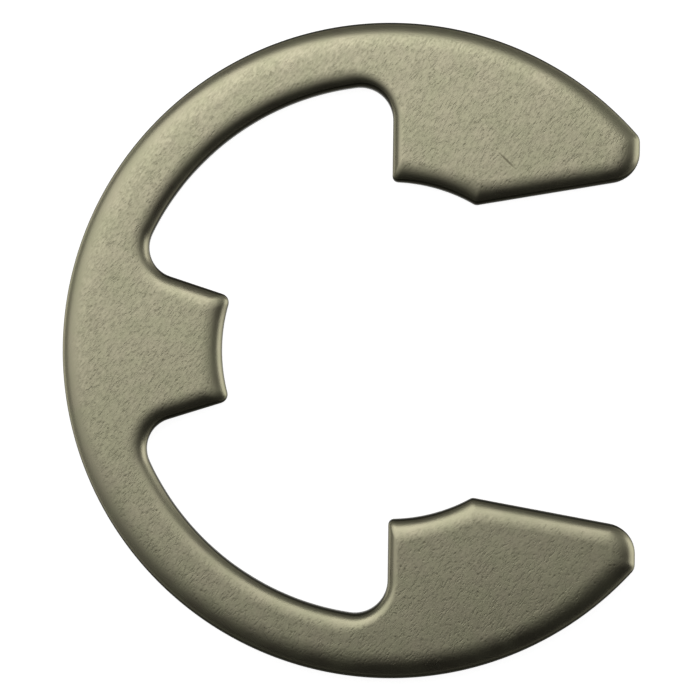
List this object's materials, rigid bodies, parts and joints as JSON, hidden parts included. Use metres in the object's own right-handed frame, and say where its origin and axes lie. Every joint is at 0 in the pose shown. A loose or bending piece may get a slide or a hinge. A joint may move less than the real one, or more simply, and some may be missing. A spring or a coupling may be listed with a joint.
{
  "type": "e clip",
  "caption": "Flat open retaining ring with a lug and prongs that snap sideways into a shaft groove, upper edges rolled by the die.",
  "frame": {"origin": "on the axis of the shaft that the clip grips, in the plane of its underside, which is the burr face that it lies on", "axes": "+Z through the thickness, from the burr face to the rolled face; +X out of the mouth; +Y across the mouth, to one prong"},
  "size_m": [0.0254, 0.029, 0.0015],
  "materials": {
    "spring_steel": "tumbled spring steel strip with a warm satin skin, a faint slanting rolling grain and small pits"
  },
  "bodies": {
    "root": {"e_clip": "spring_steel"}
  },
  "joints": []
}
